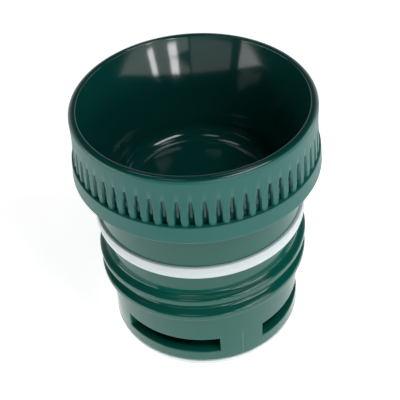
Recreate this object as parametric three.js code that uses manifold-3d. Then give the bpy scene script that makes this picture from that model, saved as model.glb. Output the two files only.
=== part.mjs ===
// Stopper for a vacuum flask: it screws into the neck, and half a turn back opens the way to pour.
// Millimetres, +Z up. The origin is the centre of the base, on the face that the stopper rests on.
// Angles start at the front (-Y) and grow towards +X.

import * as THREE from 'three';
import { ConvexGeometry } from 'three/addons/geometries/ConvexGeometry.js';
import { mergeVertices } from 'three/addons/utils/BufferGeometryUtils.js';
import Module from 'manifold-3d';

const wasm = await Module();
wasm.setup();

// Driving dimensions.
const HEIGHT = 66.8;             // base to rim
const FIT_GAP = 0.3;            // clearance between neighbouring pieces
const WALL = 1.6;               // moulded wall of the chamber plug
const SIDES = 60;               // facets round every turned piece

const RIM_RADIUS = 27.2;        // outside of the rim and of the smooth band under it
const RIM_WIDTH = 1.7;
const COLLAR_TOP_RADIUS = 28;   // collar under the ribs
const COLLAR_RADIUS = 28.35;    // its flared lower edge, the widest place of the stopper
const COLLAR_BORE = 27;
const COLLAR_BOTTOM = 50.4;
const COLLAR_TOP = 54.7;
const SKIRT_BORE = 25.6;        // inside of the skirt behind the ribs

const RIB_COUNT = 60;
const RIB_TOP = 61.3;           // where the grooves run out
const RIB_CREST = 27.7;         // crest radius at the foot of the ribs
const RIB_VALLEY = 26.6;
const RIB_GROOVE_WIDTH = 1.8;   // at the foot
const RIB_CUTTER_PROUD = 0.5;   // how far the groove cutter stands outside the crests

const BOWL_FLOOR = 42.8;
const BOWL_FLOOR_RADIUS = 18.4;
const BOWL_FILLET = 1.6;
const BOWL_WALL = 1.4;          // measured level
const BOWL_BELLY = [20.5, 53];  // control point of the wall's gentle curve: radius, height

const WEB_RADIUS = COLLAR_BORE - FIT_GAP;
const WEB_THICKNESS = 1.8;
const SLEEVE_RADIUS = 24;       // plain cylinder above the neck seal
const SLEEVE_BORE = 22.6;
const BODY_RADIUS = 23.1;       // core of the thread
const BODY_BORE = 21.2;
const BODY_BOTTOM = 5.9;
const GROOVE_RADIUS = 22.7;
const GROOVE_BOTTOM = 36.1;
const GROOVE_TOP = 39.3;
const LIP_RADIUS = 24.15;       // thin lip that carries the neck seal
const LIP_HEIGHT = 0.8;
const SEAL_RADIUS = 24.8;
const SEAL_EDGE_RADIUS = 24.55;

const CHAMBER_RADIUS = 21;      // inside of the pouring chamber
const CHAMBER_CEILING = 13.9;
const CEILING_THICKNESS = 2;
const CHAMBER_FLOOR = 7.9;
const FLOOR_THICKNESS = 2;

const THREAD_PITCH = 5.15;
const THREAD_RADIUS = 25;
const THREAD_CREST = 1.3;       // flat part of the ridge
const THREAD_ROOT = 3;          // width of the ridge at its buried root
const THREAD_ROOT_RADIUS = 22.6;
const THREAD_HEIGHT_AT_FRONT = 22.9;
const THREAD_START = -165;      // degrees
const THREAD_END = 525;
const THREAD_RUN_OUT = 20;

const WINDOW_COUNT = 4;
const WINDOW_HALF_ANGLE = 31;   // degrees
const WINDOW_BOTTOM = 9;
const WINDOW_TOP = 13.3;

const HUB_RADIUS = 10;
const SPIGOT_RADIUS = 7.8;      // peg on the hub, fixed in the ceiling's boss
const SPIGOT_TOP = 17.7;
const BOSS_TOP = 18.1;
const SPOKE_COUNT = 4;          // upright walls from the hub to the posts between the windows
const SPOKE_THICKNESS = 1.4;
const GASKET_SEAT_RADIUS = 18.2;
const GASKET_RADIUS = 23.2;
const GASKET_BEVEL = [[20.1, 1.2], [21.3, 2.2], [22.9, 4.2]];  // radius, height
const BASE_RADIUS = 19.3;
const BASE_THICKNESS = 0.9;
const BASE_RECESS = 0.4;
const BASE_RECESS_RADIUS = 15;

const degrees = THREE.MathUtils.degToRad;

// Lathe outline from corners [radius, height, rounding], anticlockwise, and closed on itself
// unless it starts and ends on the axis. The rounding is the length cut off each side.
function outline(corners, steps = 2) {
  const places = corners.map(([radius, height]) => new THREE.Vector2(radius, height));
  const points = places.flatMap((corner, i) => {
    const rounding = corners[i][2] ?? 0;
    if (rounding === 0) return [corner];
    const cut = (other) => corner.clone().add(other.clone().sub(corner).setLength(rounding));
    const before = cut(places.at(i - 1));
    const after = cut(places[(i + 1) % places.length]);
    return new THREE.QuadraticBezierCurve(before, corner, after).getPoints(steps);
  });
  const startsOnAxis = points[0].x === 0;
  return startsOnAxis ? points : [...points, points[0].clone()];
}

function revolve(points) {
  return new THREE.LatheGeometry(points, SIDES).rotateX(Math.PI / 2);
}

function toManifold(geometry) {
  const bare = geometry.clone();
  bare.deleteAttribute('normal');
  bare.deleteAttribute('uv');
  const merged = mergeVertices(bare, 1e-4);
  const vertProperties = Float32Array.from(merged.attributes.position.array);
  const triVerts = Uint32Array.from(merged.index.array);
  return new wasm.Manifold(new wasm.Mesh({ numProp: 3, vertProperties, triVerts }));
}

function toGeometry(manifold) {
  const { vertProperties, triVerts } = manifold.getMesh();
  const geometry = new THREE.BufferGeometry();
  geometry.setAttribute('position', new THREE.BufferAttribute(vertProperties, 3));
  geometry.setIndex(new THREE.BufferAttribute(triVerts, 1));
  geometry.computeVertexNormals();
  return geometry;
}

// Turned copies of one cutter, spread evenly round the axis.
function ringOf(geometry, count, offset = 0) {
  return Array.from({ length: count }, (_, i) => {
    const turn = (i + offset) * 2 * Math.PI / count;
    return toManifold(geometry.clone().rotateZ(turn));
  });
}

function bowlWall(distance) {
  const rim = new THREE.Vector2(RIM_RADIUS - RIM_WIDTH, HEIGHT - 0.7);
  const foot = new THREE.Vector2(BOWL_FLOOR_RADIUS, BOWL_FLOOR + BOWL_FILLET + 0.2);
  const wall = new THREE.QuadraticBezierCurve(rim, new THREE.Vector2(...BOWL_BELLY), foot);
  return wall.getPoints(5).map((point) => [point.x + distance, point.y]);
}

// Wedge between two ribs: a blade on the axis side, widest and deepest at the collar.
function ribGroove() {
  const reach = RIB_CREST + RIB_CUTTER_PROUD;
  const widening = (reach - RIB_VALLEY) / (RIB_CREST - RIB_VALLEY);
  const spread = RIB_GROOVE_WIDTH / 2 * widening;
  return new ConvexGeometry([
    new THREE.Vector3(0, -RIM_RADIUS, RIB_TOP),
    new THREE.Vector3(0, -RIB_VALLEY, COLLAR_TOP),
    new THREE.Vector3(-spread, -reach, COLLAR_TOP),
    new THREE.Vector3(spread, -reach, COLLAR_TOP),
  ]);
}

// Grip with its ribbed skirt and, hanging inside it from the same rim, the bowl.
function gripCup() {
  const ledge = COLLAR_BOTTOM + WEB_THICKNESS + FIT_GAP;
  const underside = BOWL_FLOOR - BOWL_WALL;
  const outside = bowlWall(BOWL_WALL).filter(([, height]) => height < RIB_TOP).reverse();
  const section = outline([
    [0, underside], [BOWL_FLOOR_RADIUS + 0.9, underside, BOWL_FILLET], ...outside,
    [SKIRT_BORE, RIB_TOP], [SKIRT_BORE, ledge], [COLLAR_BORE, ledge],
    [COLLAR_BORE, COLLAR_BOTTOM], [COLLAR_RADIUS, COLLAR_BOTTOM, 0.4],
    [COLLAR_TOP_RADIUS, COLLAR_TOP, 0.25], [RIB_CREST, COLLAR_TOP], [RIM_RADIUS, RIB_TOP],
    [RIM_RADIUS, HEIGHT, 0.9], [RIM_RADIUS - RIM_WIDTH, HEIGHT, 0.5],
    ...bowlWall(0), [BOWL_FLOOR_RADIUS - 0.35, BOWL_FLOOR, BOWL_FILLET], [0, BOWL_FLOOR],
  ]);
  const grooves = wasm.Manifold.union(ringOf(ribGroove(), RIB_COUNT, 0.5));
  return toGeometry(toManifold(revolve(section)).subtract(grooves));
}

// One right-hand start, swept as a lathe that climbs and that shrinks to nothing at both ends.
function threadRidge() {
  const crest = THREAD_CREST / 2;
  const root = THREAD_ROOT / 2;
  const section = outline([
    [THREAD_ROOT_RADIUS, -root], [THREAD_RADIUS, -crest, 0.45],
    [THREAD_RADIUS, crest, 0.45], [THREAD_ROOT_RADIUS, root],
  ], 1);
  const span = THREAD_END - THREAD_START;
  const steps = Math.round(span * SIDES / 360);
  const geometry = new THREE.LatheGeometry(section, steps, degrees(THREAD_START), degrees(span));
  const position = geometry.attributes.position;
  for (let i = 0; i < position.count; i += 1) {
    const travelled = Math.floor(i / section.length) / steps * span;
    const size = Math.min(1, travelled / THREAD_RUN_OUT, (span - travelled) / THREAD_RUN_OUT);
    const angle = degrees(THREAD_START + travelled);
    const point = section[i % section.length];
    const radius = THREAD_ROOT_RADIUS + (point.x - THREAD_ROOT_RADIUS) * size;
    const climb = THREAD_HEIGHT_AT_FRONT + THREAD_PITCH * (THREAD_START + travelled) / 360;
    position.setXYZ(i, radius * Math.sin(angle), climb + point.y * size, radius * Math.cos(angle));
  }
  return geometry.rotateX(Math.PI / 2);
}

function pourWindow() {
  const side = degrees(WINDOW_HALF_ANGLE);
  const near = CHAMBER_RADIUS - 6;
  const far = BODY_RADIUS + 8;
  const sector = new THREE.Shape([
    new THREE.Vector2(-near * Math.sin(side), -near * Math.cos(side)),
    new THREE.Vector2(-far * Math.sin(side), -far * Math.cos(side)),
    new THREE.Vector2(far * Math.sin(side), -far * Math.cos(side)),
    new THREE.Vector2(near * Math.sin(side), -near * Math.cos(side)),
  ]);
  const depth = WINDOW_TOP - WINDOW_BOTTOM;
  const cutter = new THREE.ExtrudeGeometry(sector, { depth, bevelEnabled: false });
  return cutter.translate(0, 0, WINDOW_BOTTOM);
}

// Sleeve that goes into the neck: closing web, plain sleeve, seal groove, thread and windows.
function threadedSleeve() {
  const webTop = COLLAR_BOTTOM + WEB_THICKNESS;
  const lipBottom = GROOVE_BOTTOM - LIP_HEIGHT;
  const ceilingTop = CHAMBER_CEILING + CEILING_THICKNESS;
  const socket = SPIGOT_RADIUS + FIT_GAP;
  const section = outline([
    [CHAMBER_RADIUS, BODY_BOTTOM], [BODY_RADIUS, BODY_BOTTOM],
    [BODY_RADIUS, lipBottom, 0.7], [LIP_RADIUS, lipBottom],
    [LIP_RADIUS, GROOVE_BOTTOM], [GROOVE_RADIUS, GROOVE_BOTTOM],
    [GROOVE_RADIUS, GROOVE_TOP], [SLEEVE_RADIUS, GROOVE_TOP],
    [SLEEVE_RADIUS, COLLAR_BOTTOM], [WEB_RADIUS, COLLAR_BOTTOM], [WEB_RADIUS, webTop],
    [SLEEVE_BORE, webTop], [SLEEVE_BORE, GROOVE_TOP + 2], [BODY_BORE, GROOVE_TOP],
    [BODY_BORE, ceilingTop], [HUB_RADIUS, ceilingTop], [HUB_RADIUS, BOSS_TOP],
    [socket, BOSS_TOP], [socket, CHAMBER_CEILING], [CHAMBER_RADIUS, CHAMBER_CEILING],
  ]);
  const windows = wasm.Manifold.union(ringOf(pourWindow(), WINDOW_COUNT));
  const threaded = toManifold(revolve(section)).add(toManifold(threadRidge()));
  return toGeometry(threaded.subtract(windows));
}

// Foam that fills the sleeve between the chamber's ceiling and the bowl.
function foamCore() {
  const radius = BODY_BORE - FIT_GAP;
  const bottom = CHAMBER_CEILING + CEILING_THICKNESS + FIT_GAP;
  const pocket = HUB_RADIUS + FIT_GAP;
  const pocketTop = BOSS_TOP + FIT_GAP;
  const top = BOWL_FLOOR - BOWL_WALL - FIT_GAP;
  return revolve(outline([
    [0, pocketTop], [pocket, pocketTop], [pocket, bottom],
    [radius, bottom], [radius, GROOVE_TOP], [radius - 1.5, top], [0, top],
  ]));
}

function neckSeal() {
  const inner = GROOVE_RADIUS + FIT_GAP;
  const bottom = GROOVE_BOTTOM + FIT_GAP;
  const top = GROOVE_TOP - FIT_GAP;
  return revolve(outline([
    [inner, bottom], [SEAL_EDGE_RADIUS, bottom], [SEAL_RADIUS, (bottom + top) / 2],
    [SEAL_EDGE_RADIUS, top], [inner, top],
  ]));
}

// Floor of the pouring chamber, with the gasket's seat under it and, above it, the hub and the
// spokes that part the four pour windows. It is cored out from below, so that every wall has much
// the same thickness.
function chamberPlug() {
  const bottom = BASE_THICKNESS + FIT_GAP;
  const hubTop = CHAMBER_CEILING - FIT_GAP;
  const hubCore = HUB_RADIUS - WALL;
  const seatCore = GASKET_SEAT_RADIUS - WALL;
  const floorUnderside = CHAMBER_FLOOR - FLOOR_THICKNESS;
  const flangeRadius = CHAMBER_RADIUS - FIT_GAP;
  const turned = revolve(outline([
    [0, hubTop - WALL], [hubCore, hubTop - WALL], [hubCore, bottom], [HUB_RADIUS, bottom],
    [HUB_RADIUS, floorUnderside], [seatCore, floorUnderside], [seatCore, bottom],
    [GASKET_SEAT_RADIUS, bottom], [GASKET_SEAT_RADIUS, BODY_BOTTOM],
    [flangeRadius, BODY_BOTTOM], [flangeRadius, CHAMBER_FLOOR],
    [HUB_RADIUS, CHAMBER_FLOOR, 0.6], [HUB_RADIUS, hubTop], [SPIGOT_RADIUS, hubTop],
    [SPIGOT_RADIUS, SPIGOT_TOP], [SPIGOT_RADIUS - WALL, SPIGOT_TOP],
    [SPIGOT_RADIUS - WALL, hubTop], [0, hubTop],
  ]));
  const inner = HUB_RADIUS - WALL / 2;
  const outer = CHAMBER_RADIUS - 2 * FIT_GAP;
  const foot = CHAMBER_FLOOR - FLOOR_THICKNESS / 2;
  const spoke = new THREE.BoxGeometry(SPOKE_THICKNESS, outer - inner, hubTop - foot)
    .translate(0, -(outer + inner) / 2, (hubTop + foot) / 2);
  const spokes = wasm.Manifold.union(ringOf(spoke, SPOKE_COUNT, 0.5));
  return toGeometry(toManifold(turned).add(spokes));
}

function seatGasket() {
  const inner = GASKET_SEAT_RADIUS + FIT_GAP;
  const bottom = BASE_THICKNESS + FIT_GAP;
  const top = BODY_BOTTOM - FIT_GAP;
  return revolve(outline([
    [inner, bottom], ...GASKET_BEVEL, [GASKET_RADIUS, top], [inner, top],
  ]));
}

function baseDisc() {
  return revolve(outline([
    [0, BASE_RECESS], [BASE_RECESS_RADIUS, BASE_RECESS], [BASE_RECESS_RADIUS + BASE_RECESS, 0],
    [BASE_RADIUS, 0, 0.3], [BASE_RADIUS, BASE_THICKNESS], [0, BASE_THICKNESS],
  ]));
}

function finish(color, roughness) {
  return new THREE.MeshStandardMaterial({ color, roughness, metalness: 0 });
}

const satinGreen = finish(0x2f6b5e, 0.45);
const glossGreen = finish(0x0f4a3e, 0.12);
const whiteSilicone = finish(0xe4eaea, 0.55);
const palePolyurethane = finish(0xe6d9a8, 0.95);

const pieces = [
  ['grip_cup', gripCup(), satinGreen],
  ['threaded_sleeve', threadedSleeve(), glossGreen],
  ['foam_core', foamCore(), palePolyurethane],
  ['neck_seal', neckSeal(), whiteSilicone],
  ['chamber_plug', chamberPlug(), glossGreen],
  ['seat_gasket', seatGasket(), whiteSilicone],
  ['base_disc', baseDisc(), glossGreen],
];

const group = new THREE.Group();
for (const [name, geometry, material] of pieces) {
  const piece = new THREE.Mesh(geometry, material.clone());
  piece.name = name;
  group.add(piece);
}

export default group;
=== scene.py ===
# %% [markdown]
# # A vacuum flask's twist-and-pour stopper
#
# The object is the plug that screws into the neck of an insulated bottle. It is a small moulded
# assembly: a ribbed grip with a bowl in its top, a threaded sleeve with four pour windows, a hub
# inside the pouring chamber, and two white silicone rings that seal it.
#
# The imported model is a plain, faceted version with the right sizes. This script keeps its places
# and turns each piece into a smooth one. Almost every piece is round, so the main tool is a lathe:
# a closed outline of radius and height is turned about the Z axis.

# %% The frame, and the size of the plain model
import math

import bmesh
import bpy
from mathutils import Matrix, Vector


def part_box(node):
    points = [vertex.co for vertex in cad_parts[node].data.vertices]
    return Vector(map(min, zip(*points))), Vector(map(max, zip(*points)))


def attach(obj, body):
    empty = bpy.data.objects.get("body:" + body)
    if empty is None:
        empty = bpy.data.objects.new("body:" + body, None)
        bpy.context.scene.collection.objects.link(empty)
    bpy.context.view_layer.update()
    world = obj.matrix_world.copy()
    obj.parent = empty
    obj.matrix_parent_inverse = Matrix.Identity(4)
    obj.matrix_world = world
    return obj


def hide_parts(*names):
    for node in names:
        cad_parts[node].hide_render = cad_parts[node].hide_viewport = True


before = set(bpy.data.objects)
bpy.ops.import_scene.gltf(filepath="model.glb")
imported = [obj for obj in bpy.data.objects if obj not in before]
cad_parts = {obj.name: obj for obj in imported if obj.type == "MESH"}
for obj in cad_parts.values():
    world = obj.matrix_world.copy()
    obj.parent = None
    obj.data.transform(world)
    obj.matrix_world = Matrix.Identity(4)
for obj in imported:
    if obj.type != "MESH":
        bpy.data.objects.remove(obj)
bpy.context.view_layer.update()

# %% [markdown]
# ## Reading places from the frame
#
# The outlines below are written in millimetres, because that is how a moulded part is drawn, and
# one factor brings them to metres when a mesh is made. Radii and heights that a neighbour shares
# are read from the frame's boxes, so the smooth pieces land where the plain ones are.

# %% Shared radii and heights, in millimetres
MM = 0.001


def extent(node):
    """Largest radius, lowest height and highest height of a node, in millimetres."""
    low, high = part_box(node)
    return round(high[0] / MM, 3), round(low[2] / MM, 3), round(high[2] / MM, 3)


collar_radius, _, rim_height = extent("grip_cup")
web_radius, body_bottom, web_top = extent("threaded_sleeve")
seal_radius, seal_low, seal_high = extent("neck_seal")
gasket_radius, gasket_low, _ = extent("seat_gasket")
plug_radius, _, spigot_top = extent("chamber_plug")
base_radius, _, base_top = extent("base_disc")
fit_gap = round(gasket_low - base_top, 3)
groove_low, groove_high = seal_low - fit_gap, seal_high + fit_gap
print("collar radius", collar_radius, "rim", rim_height, "groove", groove_low, groove_high)

# %% [markdown]
# ## The lathe
#
# A corner of an outline is `(radius, height)` or `(radius, height, fillet)`. A real moulding has
# no knife edges, so most corners get a fillet: an arc that touches both neighbouring lines. One
# extra point is set just outside each arc. It holds the smooth shading of the arc away from the
# long flat wall next to it, which keeps reflections straight on the wall.

# %% Outlines with true fillets
HOLD = 0.12
ARC_STEPS = 6


def filleted(corners):
    """Points of an outline whose corners are rounded by arcs, each held by a point on both sides."""
    points = []
    for i, corner in enumerate(corners):
        here = Vector(corner[:2])
        radius = corner[2] if len(corner) > 2 else 0
        if radius == 0:
            points.append(here)
            continue
        to_last = (Vector(corners[i - 1][:2]) - here).normalized()
        to_next = (Vector(corners[(i + 1) % len(corners)][:2]) - here).normalized()
        half = to_last.angle(to_next) / 2
        reach = radius / math.tan(half)
        centre = here + (to_last + to_next).normalized() * (radius / math.sin(half))
        spoke = here + to_last * reach - centre
        sweep = math.pi - 2 * half
        turn = sweep if to_last.cross(to_next) < 0 else -sweep
        arc = [centre + Matrix.Rotation(turn * k / ARC_STEPS, 2) @ spoke for k in range(ARC_STEPS + 1)]
        points += [here + to_last * (reach + HOLD), *arc, here + to_next * (reach + HOLD)]
    return points


print("a 1 mm fillet takes", len(filleted([(0, 0), (5, 0, 1), (5, 5), (0, 5)])) - 3, "points")

# %% Turning an outline into a mesh
def even_turns(columns):
    """Angles of a given number of columns, spread evenly."""
    return [2 * math.pi * k / columns for k in range(columns)]


def turned_mesh(outline, angles):
    """bmesh of an outline turned about Z. Points on the axis become one pole each."""
    mesh = bmesh.new()
    rings = []
    columns = len(angles)
    for point in outline:
        radius, height = point[0] * MM, point[1] * MM
        if radius == 0:
            rings.append([mesh.verts.new((0, 0, height))])
            continue
        rings.append([mesh.verts.new((radius * math.sin(a), -radius * math.cos(a), height)) for a in angles])
    open_ended = outline[0][0] == 0 and outline[-1][0] == 0
    spans = zip(rings, rings[1:] if open_ended else rings[1:] + rings[:1])
    for lower, upper in spans:
        for k in range(columns):
            n = (k + 1) % columns
            loop = [lower[k % len(lower)], lower[n % len(lower)],
                    upper[n % len(upper)], upper[k % len(upper)]]
            unique = list(dict.fromkeys(loop))
            if len(unique) > 2:
                mesh.faces.new(unique)
    return mesh, rings


def finished(name, mesh, material, crease=35):
    """Object of a bmesh, shaded smooth except where faces meet at more than the crease angle."""
    bmesh.ops.recalc_face_normals(mesh, faces=mesh.faces)
    data = bpy.data.meshes.new(name)
    mesh.to_mesh(data)
    mesh.free()
    data.polygons.foreach_set("use_smooth", [True] * len(data.polygons))
    data.set_sharp_from_angle(angle=math.radians(crease))
    data.materials.append(material)
    piece = bpy.data.objects.new(name, data)
    bpy.context.scene.collection.objects.link(piece)
    print(name, len(data.polygons), "faces")
    return piece


# %% [markdown]
# ## Materials
#
# All the green pieces are the same polypropylene. What differs is the mould: the sleeve, the hub and
# the bowl come from polished steel, and the outside of the grip comes from spark-eroded steel,
# which leaves a fine grain. Grain scatters more light, so the outside gets a paler green. The bowl
# gets a deeper green than the sleeve, which isn't how the plastic is: it stands for a shadow that
# these lamps don't leave in the bowl by themselves. Each finish is a Principled BSDF whose roughness
# and bump follow noise on Object coordinates, so the pattern stays put on the piece.

# %% A small kit for building shader nodes
def node_maker(tree):
    """Function that adds a node to a tree, sets its properties and links or fills its inputs."""
    def add(kind, **settings):
        made = tree.nodes.new(kind)
        inputs = settings.pop("inputs", {})
        for key, value in settings.items():
            setattr(made, key, value)
        for key, value in inputs.items():
            if isinstance(value, bpy.types.NodeSocket):
                tree.links.new(value, made.inputs[key])
            else:
                made.inputs[key].default_value = value
        return made
    return add


def new_material(name):
    """Material with an empty Principled BSDF. Gives the material, its shader and the node maker."""
    material = bpy.data.materials.new(name)
    material.use_nodes = True
    material.node_tree.nodes.clear()
    add = node_maker(material.node_tree)
    shader = add("ShaderNodeBsdfPrincipled")
    output = add("ShaderNodeOutputMaterial")
    material.node_tree.links.new(shader.outputs[0], output.inputs[0])
    return material, shader, add


def noise(add, scale, detail=2.0):
    place = add("ShaderNodeTexCoord").outputs["Object"]
    made = add("ShaderNodeTexNoise", inputs={"Vector": place, "Scale": scale, "Detail": detail})
    return made.outputs["Fac"]


def spread(add, value, low, high):
    """Value from 0 to 1 mapped to the range low to high."""
    made = add("ShaderNodeMapRange", inputs={"Value": value, "To Min": low, "To Max": high})
    return made.outputs["Result"]


def blend_colors(add, factor, first, second):
    made = add("ShaderNodeMix", data_type="RGBA")
    tree = factor.id_data
    tree.links.new(factor, made.inputs[0])
    made.inputs[6].default_value = (*first, 1)
    made.inputs[7].default_value = (*second, 1)
    return made.outputs[2]


# %% [markdown]
# ### Polished green
#
# Light travels a little way into dark polypropylene, and its skin is almost a mirror. Two things
# keep it from looking like glass: slow waves, left where the plastic cooled unevenly, that bend
# reflections, and a very faint haze that varies across the surface.

# %% Polished green
GREEN_DEEP = (0.003, 0.093, 0.07)
GREEN_PALE = (0.004, 0.107, 0.08)
PLASTIC_IOR = 1.5


def polished_green():
    material, shader, add = new_material("polished_green")
    tone = blend_colors(add, noise(add, 55), GREEN_DEEP, GREEN_PALE)
    haze = spread(add, noise(add, 900, 4), 0.07, 0.13)
    waves = add("ShaderNodeBump", inputs={"Strength": 1, "Distance": 0.00003, "Height": noise(add, 75, 1)})
    specks = add("ShaderNodeBump", inputs={
        "Strength": 1, "Distance": 0.000002, "Height": noise(add, 2200, 3), "Normal": waves.outputs[0]})
    links = material.node_tree.links
    links.new(tone, shader.inputs["Base Color"])
    links.new(haze, shader.inputs["Roughness"])
    links.new(specks.outputs[0], shader.inputs["Normal"])
    shader.inputs["IOR"].default_value = PLASTIC_IOR
    return material


polished = polished_green()
print("material:", polished.name)

# %% [markdown]
# ### Grip green: grained outside, polished in the bowl
#
# The grip and the bowl are one moulding, and the grain of the mould stops at the top of the rim.
# The distance from the axis alone tells the two apart: what is nearer than the grain edge is
# polished and takes the bowl's green, which is darker than the sleeve's because it carries painted
# shade. A narrow blend stands for the worn edge between. This test has a flaw. The floors of the rib
# grooves are nearer than the grain edge too, so they get the bowl's finish with its painted shade,
# and look darker than grained plastic would. A test of the height as well would set them right.

# %% Grip green
RIM_WIDTH = 1.7
rim_radius = 27.2
grain_edge = (rim_radius - 0.25) * MM
# The bowl's greens are the polished green made darker: painted shade inside the bowl.
BOWL_SHADED_DEEP = (0.0012, 0.047, 0.04)
BOWL_SHADED_PALE = (0.0018, 0.056, 0.048)
GRAINED_DEEP = (0.008, 0.13, 0.11)
GRAINED_PALE = (0.011, 0.146, 0.125)


def grip_green():
    material, shader, add = new_material("grip_green")
    place = add("ShaderNodeTexCoord").outputs["Object"]
    flat = add("ShaderNodeVectorMath", operation="MULTIPLY", inputs={0: place, 1: (1, 1, 0)})
    distance = add("ShaderNodeVectorMath", operation="LENGTH", inputs={0: flat.outputs[0]})
    outside = add("ShaderNodeMapRange", inputs={
        "Value": distance.outputs["Value"], "From Min": grain_edge - 0.0002, "From Max": grain_edge + 0.0002})
    grained = outside.outputs["Result"]
    cloud = noise(add, 55)
    # Inside the grain edge the tone carries the bowl's painted shade.
    bowl_painted_shade_tone = blend_colors(add, cloud, BOWL_SHADED_DEEP, BOWL_SHADED_PALE)
    grained_tone = blend_colors(add, cloud, GRAINED_DEEP, GRAINED_PALE)
    tone = add("ShaderNodeMix", data_type="RGBA", inputs={
        0: grained, 6: bowl_painted_shade_tone, 7: grained_tone}).outputs[2]
    satin = spread(add, noise(add, 420, 5), 0.34, 0.46)
    gloss = spread(add, noise(add, 900, 4), 0.07, 0.13)
    rough = add("ShaderNodeMix", data_type="FLOAT", inputs={0: grained, 2: gloss, 3: satin})
    waves = add("ShaderNodeBump", inputs={"Strength": 1, "Distance": 0.00003, "Height": noise(add, 75, 1)})
    grain = add("ShaderNodeBump", inputs={
        "Strength": grained, "Distance": 0.000012, "Height": noise(add, 3600, 4), "Normal": waves.outputs[0]})
    links = material.node_tree.links
    links.new(tone, shader.inputs["Base Color"])
    links.new(rough.outputs[0], shader.inputs["Roughness"])
    links.new(grain.outputs[0], shader.inputs["Normal"])
    shader.inputs["IOR"].default_value = PLASTIC_IOR
    return material


grip_finish = grip_green()
print("material:", grip_finish.name)

# %% [markdown]
# ### White silicone
#
# Silicone rubber is milky: light enters, scatters a millimetre or so and leaves again, so its
# edges never look hard. A little subsurface scattering does this. Its skin is soft to the touch
# and holds fine dust, so it is much rougher than the plastic.

# %% White silicone
def silicone():
    material, shader, add = new_material("white_silicone")
    tone = blend_colors(add, noise(add, 160, 3), (0.64, 0.705, 0.72), (0.69, 0.755, 0.77))
    matt = spread(add, noise(add, 700, 4), 0.38, 0.52)
    skin = add("ShaderNodeBump", inputs={"Strength": 1, "Distance": 0.000008, "Height": noise(add, 2600, 3)})
    links = material.node_tree.links
    links.new(tone, shader.inputs["Base Color"])
    links.new(matt, shader.inputs["Roughness"])
    links.new(skin.outputs[0], shader.inputs["Normal"])
    shader.inputs["Subsurface Weight"].default_value = 0.35
    shader.inputs["Subsurface Radius"].default_value = (1.0, 0.9, 0.8)
    shader.inputs["Subsurface Scale"].default_value = 0.0012
    return material


white_silicone = silicone()
print("material:", white_silicone.name)

# %% [markdown]
# ### Foam
#
# The insulating foam is shut inside the sleeve, but the piece can be taken out and looked at, so
# it gets open cells: a Voronoi pattern about a third of a millimetre across.

# %% Foam
def foam():
    material, shader, add = new_material("pale_foam")
    place = add("ShaderNodeTexCoord").outputs["Object"]
    cells = add("ShaderNodeTexVoronoi", inputs={"Vector": place, "Scale": 3000})
    tone = blend_colors(add, cells.outputs["Distance"], (0.62, 0.52, 0.3), (0.8, 0.73, 0.5))
    pits = add("ShaderNodeBump", inputs={
        "Strength": 1, "Distance": 0.0001, "Height": cells.outputs["Distance"]})
    links = material.node_tree.links
    links.new(tone, shader.inputs["Base Color"])
    links.new(pits.outputs[0], shader.inputs["Normal"])
    shader.inputs["Roughness"].default_value = 0.9
    return material


pale_foam = foam()
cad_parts["foam_core"].data.materials[0] = pale_foam
print("material:", pale_foam.name)

# %% [markdown]
# ## Geometry Nodes: a kit for formulas
#
# Two things on this stopper follow a rule, the ribs of the grip and the thread. Both are formulas
# on the position of a vertex, so they are made with Set Position and Math nodes. The class below
# keeps the formulas readable: `ops.sub(a, b)` adds one Math node and gives its output.

# %% Formula kit for Geometry Nodes
class Formula:
    """Adds Math nodes to a node tree. Each argument is a number or an output of another node."""

    def __init__(self, tree):
        self.tree = tree

    def node(self, kind, **settings):
        return node_maker(self.tree)(kind, **settings)

    def math(self, operation, *values):
        return self.node("ShaderNodeMath", operation=operation, inputs=dict(enumerate(values))).outputs[0]

    def add(self, a, b):
        return self.math("ADD", a, b)

    def sub(self, a, b):
        return self.math("SUBTRACT", a, b)

    def mul(self, a, b):
        return self.math("MULTIPLY", a, b)

    def div(self, a, b):
        return self.math("DIVIDE", a, b)

    def ramp(self, value, start, end, shape="LINEAR"):
        """0 at start, 1 at end, and held beyond them."""
        made = self.node("ShaderNodeMapRange", interpolation_type=shape, inputs={
            "Value": value, "From Min": start, "From Max": end})
        return made.outputs["Result"]

    def place(self):
        position = self.node("GeometryNodeInputPosition").outputs[0]
        return self.node("ShaderNodeSeparateXYZ", inputs={0: position}).outputs

    def vector(self, x, y, z):
        return self.node("ShaderNodeCombineXYZ", inputs={0: x, 1: y, 2: z}).outputs[0]


def new_tree(name, numbers):
    """Node group with a geometry input and output, a material input and named numbers."""
    tree = bpy.data.node_groups.new(name, "GeometryNodeTree")
    tree.interface.new_socket("Geometry", in_out="INPUT", socket_type="NodeSocketGeometry")
    tree.interface.new_socket("Material", in_out="INPUT", socket_type="NodeSocketMaterial")
    for number in numbers:
        kind = "NodeSocketInt" if number in ("Count", "Steps", "Section") else "NodeSocketFloat"
        tree.interface.new_socket(number, in_out="INPUT", socket_type=kind)
    tree.interface.new_socket("Geometry", in_out="OUTPUT", socket_type="NodeSocketGeometry")
    ops = Formula(tree)
    return tree, ops, ops.node("NodeGroupInput").outputs


def close_tree(ops, geometry, material):
    """Ends a tree: real geometry, one material, output."""
    real = ops.node("GeometryNodeRealizeInstances", inputs={0: geometry})
    painted = ops.node("GeometryNodeSetMaterial", inputs={"Geometry": real.outputs[0], "Material": material})
    ops.node("NodeGroupOutput", inputs={0: painted.outputs[0]})


def applied(piece, tree, values):
    """Runs a tree on a piece with the named values, and keeps only the plain mesh that comes out."""
    modifier = piece.modifiers.new(tree.name, "NODES")
    modifier.node_group = tree
    for item in tree.interface.items_tree:
        if item.in_out == "INPUT" and item.name in values:
            modifier[item.identifier] = values[item.name]
    evaluated = piece.evaluated_get(bpy.context.evaluated_depsgraph_get())
    made = bpy.data.meshes.new_from_object(evaluated)
    piece.modifiers.remove(modifier)
    piece.data = made
    made.name = piece.name
    return piece


print("formula kit ready")

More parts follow.
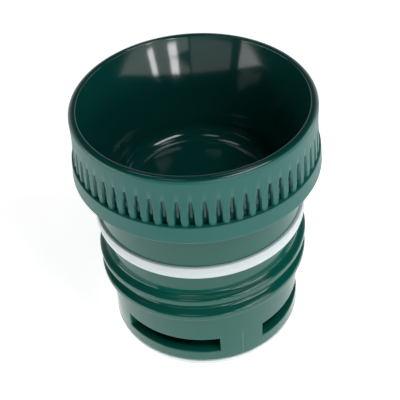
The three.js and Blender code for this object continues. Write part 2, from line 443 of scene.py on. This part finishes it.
# %% [markdown]
# ## The grip and its bowl
#
# The outline starts on the axis under the bowl, goes up between the bowl and the skirt, round the
# collar, up the outside, over the rim and down into the bowl. The wall of the bowl is a gentle
# curve, and the line between the foot of the ribs and their top has extra rows, because the ribs
# are cut into it afterwards and need points to move.

# %% Outline of the grip
COLLAR_HEIGHT = 4.3
COLLAR_TOP_RADIUS = 28.0
COLLAR_BORE = 27.0
SKIRT_BORE = 25.6
WEB_THICKNESS = 1.8
RIB_TOP = 61.3
RIB_CREST = 27.6
RIB_ROWS = 14
BOWL_FLOOR = 42.8
BOWL_FLOOR_RADIUS = 18.4
BOWL_WALL = 1.4
BOWL_BELLY = Vector((19.9, 53.8))

collar_bottom = web_top - WEB_THICKNESS
collar_top = collar_bottom + COLLAR_HEIGHT
ledge = web_top + fit_gap


def bowl_wall(distance, steps, lip):
    """Points down the bowl's wall, set back by a distance, below a given height."""
    rim = Vector((rim_radius - RIM_WIDTH, rim_height - 0.7))
    foot = Vector((BOWL_FLOOR_RADIUS, BOWL_FLOOR + 4.4))
    points = []
    for k in range(steps + 1):
        t = k / steps
        point = rim * (1 - t) ** 2 + BOWL_BELLY * (2 * t * (1 - t)) + foot * t ** 2
        if point.y < lip:
            points.append((point.x + distance, point.y))
    return points


def rib_rows():
    """Rows of the crest line, from the collar up to where the ribs fade out."""
    rows = []
    for k in range(1, RIB_ROWS + 1):
        t = k / RIB_ROWS
        rows.append((RIB_CREST + (rim_radius - RIB_CREST) * t, collar_top + (RIB_TOP - collar_top) * t))
    return rows


underside = BOWL_FLOOR - BOWL_WALL
grip_outline = filleted([
    (0, underside), (BOWL_FLOOR_RADIUS + 0.9, underside, 2.2),
    *reversed(bowl_wall(BOWL_WALL, 4, RIB_TOP - 1)),
    (SKIRT_BORE, RIB_TOP + 0.5, 0.4), (SKIRT_BORE, ledge, 0.3), (COLLAR_BORE, ledge, 0.2),
    (COLLAR_BORE, collar_bottom, 0.2), (collar_radius + 0.02, collar_bottom, 0.45),
    (COLLAR_TOP_RADIUS, collar_top, 0.2), (RIB_CREST, collar_top),
    *rib_rows(),
    (rim_radius, rim_height - 3), (rim_radius, rim_height, 1.1), (rim_radius - RIM_WIDTH, rim_height, 0.45),
    *bowl_wall(0, 13, rim_height - 0.8),
    (BOWL_FLOOR_RADIUS - 0.3, BOWL_FLOOR, 3.6), (0, BOWL_FLOOR),
])
print("grip outline:", len(grip_outline), "points")

# %% [markdown]
# ## The ribs
#
# The skirt has sixty ribs. Between two of them lies a groove with steep sides and a flat bottom.
# It starts as a fine line high on the skirt, and gets wider and deeper down to the collar. That is
# a rule, so a tree can make it. For each vertex of the outside, the tree finds how far it is round
# its own groove and how far down the skirt, and pulls it towards the axis by the groove's depth
# there. Cutting sixty wedges with booleans would leave ragged shading.

# %% Rib tree
def rib_tree():
    tree, ops, given = new_tree("rib_grooves", [
        "Count", "Foot", "Top", "Depth", "Width at foot", "Width at top", "Inside", "Outside"])
    x, y, z = ops.place()
    radius = ops.math("SQRT", ops.add(ops.mul(x, x), ops.mul(y, y)))
    angle = ops.math("ARCTAN2", x, ops.mul(y, -1))
    turns = ops.mul(angle, ops.div(given["Count"], 2 * math.pi))
    aside = ops.math("ABSOLUTE", ops.sub(ops.math("FRACT", ops.add(turns, 100)), 0.5))
    down = ops.ramp(z, given["Top"], given["Foot"])
    widen = ops.sub(given["Width at foot"], given["Width at top"])
    width = ops.add(given["Width at top"], ops.mul(widen, down))
    trough = ops.ramp(ops.div(aside, width), 1, GROOVE_FLAT, "SMOOTHSTEP")
    beyond_inside = ops.math("GREATER_THAN", radius, given["Inside"])
    within_outside = ops.math("LESS_THAN", radius, given["Outside"])
    above_foot = ops.math("GREATER_THAN", z, ops.sub(given["Foot"], 0.00001))
    on_skirt = ops.mul(ops.mul(beyond_inside, within_outside), above_foot)
    depth = ops.mul(ops.mul(given["Depth"], ops.math("POWER", down, GROOVE_FADE)), ops.mul(trough, on_skirt))
    scale = ops.mul(ops.div(depth, radius), -1)
    moved = ops.node("GeometryNodeSetPosition", inputs={
        "Geometry": given["Geometry"], "Offset": ops.vector(ops.mul(x, scale), ops.mul(y, scale), 0)})
    close_tree(ops, moved.outputs[0], given["Material"])
    return tree


def rib_turns(count, columns):
    """Angles of the columns. They crowd together at each groove, where the surface bends most."""
    angles = []
    for k in range(count * columns):
        turn = k / columns
        angles.append((turn + CROWDING * math.sin(2 * math.pi * turn)) * 2 * math.pi / count)
    return angles


GROOVE_DEPTH = 1.15
GROOVE_FOOT_WIDTH = 0.3
GROOVE_TOP_WIDTH = 0.14
GROOVE_FLAT = 0.48
GROOVE_FADE = 0.45
CROWDING = 0.12
RIB_COUNT = 60
COLUMNS_PER_RIB = 13
grip_mesh, _ = turned_mesh(grip_outline, rib_turns(RIB_COUNT, COLUMNS_PER_RIB))
grip = finished("ribbed_grip", grip_mesh, grip_finish)
applied(grip, rib_tree(), {
    "Material": grip_finish, "Count": RIB_COUNT, "Foot": collar_top * MM, "Top": RIB_TOP * MM,
    "Depth": GROOVE_DEPTH * MM, "Width at foot": GROOVE_FOOT_WIDTH, "Width at top": GROOVE_TOP_WIDTH,
    "Inside": (rim_radius - 0.4) * MM, "Outside": (RIB_CREST + 0.02) * MM})
grip.data.set_sharp_from_angle(angle=math.radians(50))
print("ribs cut:", RIB_COUNT)

# %% [markdown]
# ## The threaded sleeve
#
# One moulding again: a web that closes the grip from below, a plain sleeve, the groove for the
# neck seal with a thin lip under it, the core of the thread, and at the bottom the pouring
# chamber. The outline has a row at the sill and one at the head of the windows, inside and out,
# and one column for each degree, so that the windows can be opened exactly on the grid. Outside,
# one more row below the sill and one above the head keep the shading of the wall straight.

# %% Outline of the sleeve
SLEEVE_RADIUS = 24.0
SLEEVE_BORE = 22.6
BODY_RADIUS = 23.1
BODY_BORE = 21.2
GROOVE_RADIUS = 22.7
LIP_RADIUS = 24.15
LIP_HEIGHT = 0.8
CHAMBER_RADIUS = 21.0
CHAMBER_CEILING = 13.9
CEILING_TOP = 15.9
HUB_RADIUS = 10.0
SOCKET_RADIUS = 8.1
BOSS_TOP = 18.1
WINDOW_BOTTOM = 9.0
WINDOW_TOP = 13.3
WINDOW_HOLD = 0.5

sleeve_outline = filleted([
    (CHAMBER_RADIUS, body_bottom), (BODY_RADIUS, body_bottom, 0.15),
    (BODY_RADIUS, WINDOW_BOTTOM - WINDOW_HOLD), (BODY_RADIUS, WINDOW_BOTTOM), (BODY_RADIUS, WINDOW_TOP),
    (BODY_RADIUS, WINDOW_TOP + WINDOW_HOLD),
    (BODY_RADIUS, groove_low - LIP_HEIGHT, 0.55), (LIP_RADIUS, groove_low - LIP_HEIGHT, 0.12),
    (LIP_RADIUS, groove_low, 0.1), (GROOVE_RADIUS, groove_low, 0.1), (GROOVE_RADIUS, groove_high, 0.1),
    (SLEEVE_RADIUS, groove_high, 0.18), (SLEEVE_RADIUS, collar_bottom, 0.35),
    (web_radius, collar_bottom, 0.2), (web_radius, web_top, 0.2), (SLEEVE_BORE, web_top, 0.3),
    (SLEEVE_BORE, groove_high + 2), (BODY_BORE, groove_high), (BODY_BORE, CEILING_TOP),
    (HUB_RADIUS, CEILING_TOP), (HUB_RADIUS, BOSS_TOP), (SOCKET_RADIUS, BOSS_TOP),
    (SOCKET_RADIUS, CHAMBER_CEILING), (CHAMBER_RADIUS, CHAMBER_CEILING),
    (CHAMBER_RADIUS, WINDOW_TOP), (CHAMBER_RADIUS, WINDOW_BOTTOM),
])
print("sleeve outline:", len(sleeve_outline), "points")

# %% [markdown]
# ## The pour windows
#
# Each window is a hole through the wall with radial sides. On the grid this is simple: the faces
# between the two rows are removed outside and inside, and the gap is closed with a sill, a head
# and two sides. Their edges are then bevelled, more outside, where the mould is rounded, than
# inside. The bevel is what catches the light along the window.

# %% Opening the windows
DEGREES_ROUND = 360
WINDOW_HALF_ANGLE = 31
WINDOW_CENTRES = (0, 90, 180, 270)


def ring_at(outline, rings, radius, height):
    """The ring of vertices that stands at a point of the outline."""
    index = min(range(len(outline)), key=lambda i: (outline[i] - Vector((radius, height))).length)
    return rings[index]


def open_window(mesh, outer, inner, centre):
    """Cuts one window. outer and inner are (sill ring, head ring). Gives the edges to bevel."""
    first, last = centre - WINDOW_HALF_ANGLE, centre + WINDOW_HALF_ANGLE
    columns = [k % DEGREES_ROUND for k in range(first, last + 1)]
    for sill, head in (outer, inner):
        inside = {v for k in columns for v in (sill[k], head[k])}
        doomed = [f for f in mesh.faces if all(v in inside for v in f.verts)]
        bmesh.ops.delete(mesh, geom=doomed, context="FACES_ONLY")
    for level in (0, 1):
        for a, b in zip(columns, columns[1:]):
            mesh.faces.new((outer[level][a], outer[level][b], inner[level][b], inner[level][a]))
    for k in (columns[0], columns[-1]):
        mesh.faces.new((outer[0][k], outer[1][k], inner[1][k], inner[0][k]))
    rims = []
    for sill, head in (outer, inner):
        pairs = [(ring[a], ring[b]) for ring in (sill, head) for a, b in zip(columns, columns[1:])]
        pairs += [(sill[columns[0]], head[columns[0]]), (sill[columns[-1]], head[columns[-1]])]
        rims.append([mesh.edges.get(pair) or mesh.edges.new(pair) for pair in pairs])
    return rims


sleeve_mesh, sleeve_rings = turned_mesh(sleeve_outline, even_turns(DEGREES_ROUND))
outer_rows = [ring_at(sleeve_outline, sleeve_rings, BODY_RADIUS, h) for h in (WINDOW_BOTTOM, WINDOW_TOP)]
inner_rows = [ring_at(sleeve_outline, sleeve_rings, CHAMBER_RADIUS, h) for h in (WINDOW_BOTTOM, WINDOW_TOP)]
outer_edges, inner_edges = [], []
for centre in WINDOW_CENTRES:
    outer_rim, inner_rim = open_window(sleeve_mesh, outer_rows, inner_rows, centre)
    outer_edges += outer_rim
    inner_edges += inner_rim
bmesh.ops.recalc_face_normals(sleeve_mesh, faces=sleeve_mesh.faces)
for edges, size in ((outer_edges, 0.28), (inner_edges, 0.12)):
    bmesh.ops.bevel(sleeve_mesh, geom=edges, offset=size * MM, segments=3, profile=0.5,
                    affect="EDGES", clamp_overlap=True)
sleeve = finished("threaded_sleeve_body", sleeve_mesh, polished)
print("windows:", len(WINDOW_CENTRES))

# %% [markdown]
# ## The thread
#
# A single right-hand ridge climbs about 5 mm a turn and fades out at both ends. In the tree
# a flat grid is rolled up: one side of the grid becomes the way along the thread, the other goes
# round the ridge's section. The section is a bell curve with a flat top and soft feet, which
# gives the fillet where the ridge leaves the wall. A swept curve would tilt its section here.

# %% Thread tree
def thread_tree():
    tree, ops, given = new_tree("thread_ridge", [
        "Steps", "Section", "Core radius", "Height", "Half width", "Reach",
        "Pitch", "Front height", "Start", "Span", "Run out"])
    sheet = ops.node("GeometryNodeMeshGrid", inputs={
        "Size X": 1, "Size Y": 1, "Vertices X": given["Steps"], "Vertices Y": given["Section"]})
    x, y, _ = ops.place()
    along = ops.add(x, 0.5)
    around = ops.add(y, 0.5)
    rising = ops.div(along, given["Run out"])
    falling = ops.div(ops.sub(1, along), given["Run out"])
    size = ops.ramp(ops.math("MINIMUM", rising, falling), 0, 1, "SMOOTHSTEP")
    over = ops.div(around, 0.9)
    under = ops.div(ops.sub(1, around), 0.1)
    tent = ops.math("MINIMUM", over, under)
    across = ops.mul(ops.sub(ops.mul(tent, 2), 1), given["Reach"])
    ratio = ops.div(ops.math("ABSOLUTE", across), given["Half width"])
    bell = ops.div(1, ops.add(1, ops.math("POWER", ratio, 6)))
    on_top = ops.math("LESS_THAN", around, 0.9)
    lift = ops.sub(ops.mul(given["Height"], ops.mul(bell, on_top)), 0.00003)
    sunk = ops.mul(ops.sub(on_top, 1), 0.0004)
    stand = ops.mul(ops.add(lift, sunk), size)
    dip = ops.mul(ops.sub(size, 1), 0.0003)
    radius = ops.add(given["Core radius"], ops.add(stand, dip))
    angle = ops.add(given["Start"], ops.mul(along, given["Span"]))
    climb = ops.add(given["Front height"], ops.mul(given["Pitch"], ops.div(angle, 2 * math.pi)))
    height = ops.add(climb, ops.mul(across, size))
    spot = ops.vector(
        ops.mul(radius, ops.math("SINE", angle)),
        ops.mul(radius, ops.mul(ops.math("COSINE", angle), -1)), height)
    rolled = ops.node("GeometryNodeSetPosition", inputs={"Geometry": sheet.outputs[0], "Position": spot})
    welded = ops.node("GeometryNodeMergeByDistance", inputs={
        "Geometry": rolled.outputs[0], "Distance": 0.000001})
    close_tree(ops, welded.outputs[0], given["Material"])
    return tree


THREAD_START, THREAD_END, THREAD_RUN_OUT = -165, 525, 20
THREAD_HEIGHT = 1.93
THREAD_HALF_WIDTH = 1.14
THREAD_REACH = 1.9
THREAD_PITCH = 5.15
THREAD_AT_FRONT = 22.9
thread = finished("sleeve_thread", bmesh.new(), polished)
applied(thread, thread_tree(), {
    "Material": polished, "Steps": 692, "Section": 42, "Core radius": BODY_RADIUS * MM,
    "Height": THREAD_HEIGHT * MM, "Half width": THREAD_HALF_WIDTH * MM, "Reach": THREAD_REACH * MM,
    "Pitch": THREAD_PITCH * MM, "Front height": THREAD_AT_FRONT * MM, "Start": math.radians(THREAD_START),
    "Span": math.radians(THREAD_END - THREAD_START),
    "Run out": THREAD_RUN_OUT / (THREAD_END - THREAD_START)})
thread_mesh = bmesh.new()
thread_mesh.from_mesh(thread.data)
bmesh.ops.recalc_face_normals(thread_mesh, faces=thread_mesh.faces)
loose = [e for e in thread_mesh.edges if not e.is_manifold]
thread_mesh.to_mesh(thread.data)
thread_mesh.free()
thread.data.polygons.foreach_set("use_smooth", [True] * len(thread.data.polygons))
thread.data.set_sharp_from_angle(angle=math.radians(50))
print("thread faces", len(thread.data.polygons), "open edges", len(loose))

# %% [markdown]
# ## The two silicone rings
#
# The neck seal is a band with softly crowned edges that stands a little proud of the sleeve. The
# seat gasket is the part that closes on the flask's seat, so its outside is a bevel that bellies
# out as it rises. Both are stretched over the plastic, so they touch it.

# %% Silicone rings
TOUCH = 0.03
seal_edge = seal_radius - 0.22
neck_outline = filleted([
    (GROOVE_RADIUS + TOUCH, groove_low + TOUCH), (seal_edge, groove_low + TOUCH, 0.3),
    (seal_radius, (groove_low + groove_high) / 2, 4), (seal_edge, groove_high - TOUCH, 0.3),
    (GROOVE_RADIUS + TOUCH, groove_high - TOUCH),
])
neck_mesh, _ = turned_mesh(neck_outline, even_turns(DEGREES_ROUND))
neck_ring = finished("neck_seal_ring", neck_mesh, white_silicone)

GASKET_SEAT_RADIUS = 18.2
gasket_outline = filleted([
    (GASKET_SEAT_RADIUS + TOUCH, base_top + TOUCH), (base_radius + 0.7, base_top + TOUCH, 0.3),
    (21.3, 2.2, 1.5), (22.9, 4.2, 2.2), (gasket_radius, body_bottom - 0.35, 0.5),
    (gasket_radius - 0.1, body_bottom - TOUCH, 0.12), (GASKET_SEAT_RADIUS + TOUCH, body_bottom - TOUCH),
])
gasket_mesh, _ = turned_mesh(gasket_outline, even_turns(DEGREES_ROUND))
gasket = finished("seat_gasket_ring", gasket_mesh, white_silicone)

# %% [markdown]
# ## The chamber plug and the base disc
#
# Seen through the windows, the plug is a green floor with a round hub. It also carries the gasket
# on its underside and is cored out from below, where the base disc covers it. The disc is dished a
# little, so that the stopper stands on a ring, and has the small mark of its injection point.

# %% Plug and base
WALL = 1.6
SPIGOT_RADIUS = 7.8
CHAMBER_FLOOR = 7.9
FLOOR_THICKNESS = 2.0
hub_top = CHAMBER_CEILING - TOUCH
core_top = CHAMBER_FLOOR - FLOOR_THICKNESS
plug_outline = filleted([
    (0, hub_top - WALL), (HUB_RADIUS - WALL, hub_top - WALL, 0.4), (HUB_RADIUS - WALL, gasket_low),
    (HUB_RADIUS, gasket_low), (HUB_RADIUS, core_top, 0.4), (GASKET_SEAT_RADIUS - WALL, core_top, 0.4),
    (GASKET_SEAT_RADIUS - WALL, gasket_low), (GASKET_SEAT_RADIUS, gasket_low),
    (GASKET_SEAT_RADIUS, body_bottom), (plug_radius, body_bottom), (plug_radius, CHAMBER_FLOOR, 0.3),
    (HUB_RADIUS, CHAMBER_FLOOR, 0.8), (HUB_RADIUS, hub_top, 0.2), (SPIGOT_RADIUS, hub_top, 0.2),
    (SPIGOT_RADIUS, spigot_top, 0.3), (SPIGOT_RADIUS - WALL, spigot_top, 0.3),
    (SPIGOT_RADIUS - WALL, hub_top, 0.3), (0, hub_top),
])
plug_mesh, _ = turned_mesh(plug_outline, even_turns(240))
plug = finished("chamber_floor_and_hub", plug_mesh, polished)

BASE_RECESS = 0.4
BASE_RECESS_RADIUS = 15.0
base_outline = filleted([
    (0, BASE_RECESS - 0.18), (1.1, BASE_RECESS - 0.18, 0.1), (1.3, BASE_RECESS, 0.1),
    (BASE_RECESS_RADIUS, BASE_RECESS, 0.3), (BASE_RECESS_RADIUS + 0.5, 0, 0.25),
    (base_radius, 0, 0.3), (base_radius, base_top, 0.1), (0, base_top),
])
base_mesh, _ = turned_mesh(base_outline, even_turns(240))
base = finished("base_cover_disc", base_mesh, polished)

# %% [markdown]
# ## Spokes and flash lines
#
# Four upright walls join the hub to the posts between the windows. They part the chamber, so that
# nothing can be seen from one window through the next. Outside, on the same posts, the mould's four
# slides met, and where two slides meet a hair of plastic creeps out and leaves a fine line. Both are
# upright bars spread evenly round the axis, so one tree makes both: it puts a bar on each point of
# a circle and turns each one to face the axis.

# %% Tree for bars round the axis
def bar_tree():
    tree, ops, given = new_tree("bars_round_axis", [
        "Count", "Radius", "Length", "Thickness", "Low", "High", "Turn"])
    tall = ops.sub(given["High"], given["Low"])
    middle = ops.mul(ops.add(given["High"], given["Low"]), 0.5)
    bar = ops.node("GeometryNodeMeshCube", inputs={
        "Size": ops.vector(given["Length"], given["Thickness"], tall)})
    circle = ops.node("GeometryNodeMeshCircle", inputs={
        "Vertices": given["Count"], "Radius": given["Radius"]})
    outward = ops.node("FunctionNodeAlignRotationToVector", axis="X", inputs={
        "Vector": ops.node("GeometryNodeInputPosition").outputs[0]})
    copies = ops.node("GeometryNodeInstanceOnPoints", inputs={
        "Points": circle.outputs[0], "Instance": bar.outputs["Mesh"], "Rotation": outward.outputs[0]})
    placed = ops.node("GeometryNodeTransform", inputs={
        "Geometry": copies.outputs[0], "Translation": ops.vector(0, 0, middle),
        "Rotation": ops.vector(0, 0, given["Turn"])})
    close_tree(ops, placed.outputs[0], given["Material"])
    return tree


def bars(name, tree, edge, **sizes):
    """Four bars on the posts, with bevelled edges. Sizes are in millimetres."""
    piece = finished(name, bmesh.new(), polished)
    values = {label.replace("_", " ").capitalize(): size * MM for label, size in sizes.items()}
    applied(piece, tree, {"Material": polished, "Count": 4, "Turn": math.radians(45), **values})
    mesh = bmesh.new()
    mesh.from_mesh(piece.data)
    bmesh.ops.bevel(mesh, geom=mesh.edges, offset=edge * MM, segments=2, profile=0.5, affect="EDGES")
    mesh.to_mesh(piece.data)
    mesh.free()
    piece.data.polygons.foreach_set("use_smooth", [True] * len(piece.data.polygons))
    piece.data.set_sharp_from_angle(angle=math.radians(50))
    print(name, len(piece.data.polygons), "faces")
    return piece


# %% Spokes and flash lines
SPOKE_THICKNESS = 1.4
spoke_inner, spoke_outer = HUB_RADIUS - 0.5, CHAMBER_RADIUS - TOUCH
bar_rule = bar_tree()
spokes = bars(
    "chamber_spokes", bar_rule, 0.15, radius=(spoke_inner + spoke_outer) / 2,
    length=spoke_outer - spoke_inner, thickness=SPOKE_THICKNESS,
    low=CHAMBER_FLOOR - 0.5, high=hub_top)
flash = bars(
    "post_flash_lines", bar_rule, 0.012, radius=BODY_RADIUS, length=0.03, thickness=0.06,
    low=body_bottom + 0.4, high=WINDOW_TOP + 1.2)

# %% [markdown]
# ## Riding and replacing
#
# The stopper has no joint of its own, because it turns in the flask's neck as one piece, so every
# piece rides on the root. Each smooth piece stands for its plain node, which is hidden, and the
# table names a finish for it.

# %% Pieces and the nodes that they stand for
PIECES = [
    (grip, "grip_cup", "satin_green"),
    (sleeve, "threaded_sleeve", "gloss_green"),
    (thread, None, "gloss_green"),
    (flash, None, "gloss_green"),
    (neck_ring, "neck_seal", "white_silicone"),
    (plug, "chamber_plug", "gloss_green"),
    (spokes, None, "gloss_green"),
    (gasket, "seat_gasket", "white_silicone"),
    (base, "base_disc", "gloss_green"),
]
for piece, node, finish in PIECES:
    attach(piece, "root")
    if node:
        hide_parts(node)
print("pieces:", len(PIECES))

# %% [markdown]
# ## The stage
#
# The stopper stands on a white table in front of a white backdrop. Polished plastic shows whatever
# is around it, so the room matters as much as the lamps: it is dark behind the camera and overhead.
# Low lamps light the outside and hardly reach into the bowl: a bright one on the left, a wide, weak
# one on the right and a narrow one at the right edge. Small lamps higher up are there for what they
# leave on the polish: two panes and a dim panel on the bowl's far wall, a line along the rim, and
# thin glints round the bowl's corner. The table is small and glows, as a light table does.

# %% Table
TABLE_RADIUS = 0.13
TABLE_GLOW = 0.74
TABLE_GAP = 0.00005


def table_top():
    """A small round light table, a hair below the stopper."""
    mesh = bmesh.new()
    bmesh.ops.create_circle(mesh, cap_ends=True, segments=96, radius=TABLE_RADIUS)
    data = bpy.data.meshes.new("table_top")
    mesh.to_mesh(data)
    mesh.free()
    material, shader, add = new_material("white_table")
    tone = blend_colors(add, noise(add, 8), (0.86, 0.86, 0.86), (0.88, 0.88, 0.88))
    material.node_tree.links.new(tone, shader.inputs["Base Color"])
    shader.inputs["Roughness"].default_value = 0.8
    shader.inputs["Specular IOR Level"].default_value = 0.1
    shader.inputs["Emission Color"].default_value = (1, 1, 1, 1)
    shader.inputs["Emission Strength"].default_value = TABLE_GLOW
    data.materials.append(material)
    made = bpy.data.objects.new("table_top", data)
    made.location.z = -TABLE_GAP
    bpy.context.scene.collection.objects.link(made)
    return made


table_top()
print("table radius:", TABLE_RADIUS)

# %% Lamps
CAMERA_AZIMUTH = math.radians(25.2)
CAMERA_ELEVATION = math.radians(42)
AIM = Vector((0, 0, 0.0372))


def direction(azimuth, elevation):
    """Unit vector from the object. Azimuth 0 is the front, and it grows towards the right."""
    flat = math.cos(elevation)
    return Vector((math.sin(azimuth) * flat, -math.cos(azimuth) * flat, math.sin(elevation)))


def softbox(name, azimuth, elevation, distance, width, height, radiance):
    """Area lamp that faces the object. The azimuth is counted from the camera, in degrees."""
    data = bpy.data.lights.new(name, "AREA")
    data.shape = "RECTANGLE"
    data.size, data.size_y = width, height
    data.energy = radiance * math.pi * width * height
    lamp = bpy.data.objects.new(name, data)
    way = direction(CAMERA_AZIMUTH + math.radians(azimuth), math.radians(elevation))
    lamp.location = AIM + way * distance
    lamp.rotation_euler = way.to_track_quat("Z", "Y").to_euler()
    lamp.visible_camera = False
    bpy.context.scene.collection.objects.link(lamp)
    return lamp


softbox("left_lamp", -77, 0, 0.8, 0.76, 0.42, 3.1)
softbox("right_lamp", 42, 1, 0.9, 1.6, 0.5, 1.5)
softbox("edge_lamp", 104, -2, 0.8, 0.36, 0.4, 2.4)
softbox("rim_lamp", 50, 50, 0.9, 0.5, 0.2, 8.0)
softbox("dim_panel", -22, 13, 0.85, 0.62, 0.2, 0.8)
softbox("right_pane", 38, 11, 0.85, 0.08, 0.12, 13.0)
softbox("middle_pane", 16, 12, 0.85, 0.12, 0.12, 13.0)
CEILING_AZIMUTHS = (-40, 80, -130, 150)
for number, azimuth in enumerate(CEILING_AZIMUTHS):
    softbox(f"ceiling_lamp_{number}", azimuth, 68, 0.9, 0.2, 0.16, 2.0)

# %% [markdown]
# ## The backdrop
#
# The world is the backdrop. To the camera it is plain white. To everything else it is white only
# low down behind the stopper, and dark overhead and behind the camera, so that the polished pieces
# have something dark to show between the lamps.

# %% Backdrop
WHITE_TO_CAMERA = 1.05
BEHIND_CAMERA = 0.08
OVERHEAD = 0.04


def backdrop():
    """World that is white in front of the camera, dark behind it, and plain white to the camera."""
    world = bpy.data.worlds.new("studio")
    bpy.context.scene.world = world
    world.use_nodes = True
    tree = world.node_tree
    tree.nodes.clear()
    add = node_maker(tree)
    sight = add("ShaderNodeTexCoord").outputs["Generated"]
    ahead = direction(CAMERA_AZIMUTH + math.pi, 0)
    facing = add("ShaderNodeVectorMath", operation="DOT_PRODUCT", inputs={0: sight, 1: ahead})
    shade = add("ShaderNodeMapRange", inputs={
        "Value": facing.outputs["Value"], "From Min": 0.1, "From Max": 0.7,
        "To Min": BEHIND_CAMERA, "To Max": 1.0})
    height = add("ShaderNodeSeparateXYZ", inputs={0: sight}).outputs["Z"]
    below_top = add("ShaderNodeMapRange", inputs={
        "Value": height, "From Min": 0.25, "From Max": 0.6, "To Min": 1.0, "To Max": OVERHEAD})
    shaded = add("ShaderNodeMath", operation="MULTIPLY", inputs={
        0: shade.outputs[0], 1: below_top.outputs[0]})
    seen = add("ShaderNodeLightPath").outputs["Is Camera Ray"]
    level = add("ShaderNodeMix", data_type="FLOAT", inputs={
        0: seen, 2: shaded.outputs[0], 3: WHITE_TO_CAMERA})
    glow = add("ShaderNodeBackground", inputs={"Strength": level.outputs[0]})
    output = add("ShaderNodeOutputWorld")
    tree.links.new(glow.outputs[0], output.inputs[0])
    glow.inputs["Color"].default_value = (1, 1, 1, 1)


backdrop()
print("world:", bpy.context.scene.world.name)

# %% [markdown]
# ## The camera
#
# The camera stands close, about 22 centimetres away, looks down steeply and is rolled a little.
# Closeness is what makes the rim look so much wider than the base.

# %% Camera
CAMERA_DISTANCE = 0.2205
CAMERA_ROLL = math.radians(4.2)
CAMERA_LENS = 83.5


def set_camera():
    data = bpy.data.cameras.new("camera")
    data.lens = CAMERA_LENS
    data.sensor_width = 36
    data.clip_start = 0.01
    camera = bpy.data.objects.new("camera", data)
    way = direction(CAMERA_AZIMUTH, CAMERA_ELEVATION)
    camera.location = AIM + way * CAMERA_DISTANCE
    camera.rotation_mode = "QUATERNION"
    upright = way.to_track_quat("Z", "Y")
    camera.rotation_quaternion = upright @ Matrix.Rotation(-CAMERA_ROLL, 3, "Z").to_quaternion()
    bpy.context.scene.collection.objects.link(camera)
    bpy.context.scene.camera = camera
    bpy.context.scene.view_settings.view_transform = "Standard"


set_camera()
print("camera lens:", CAMERA_LENS)
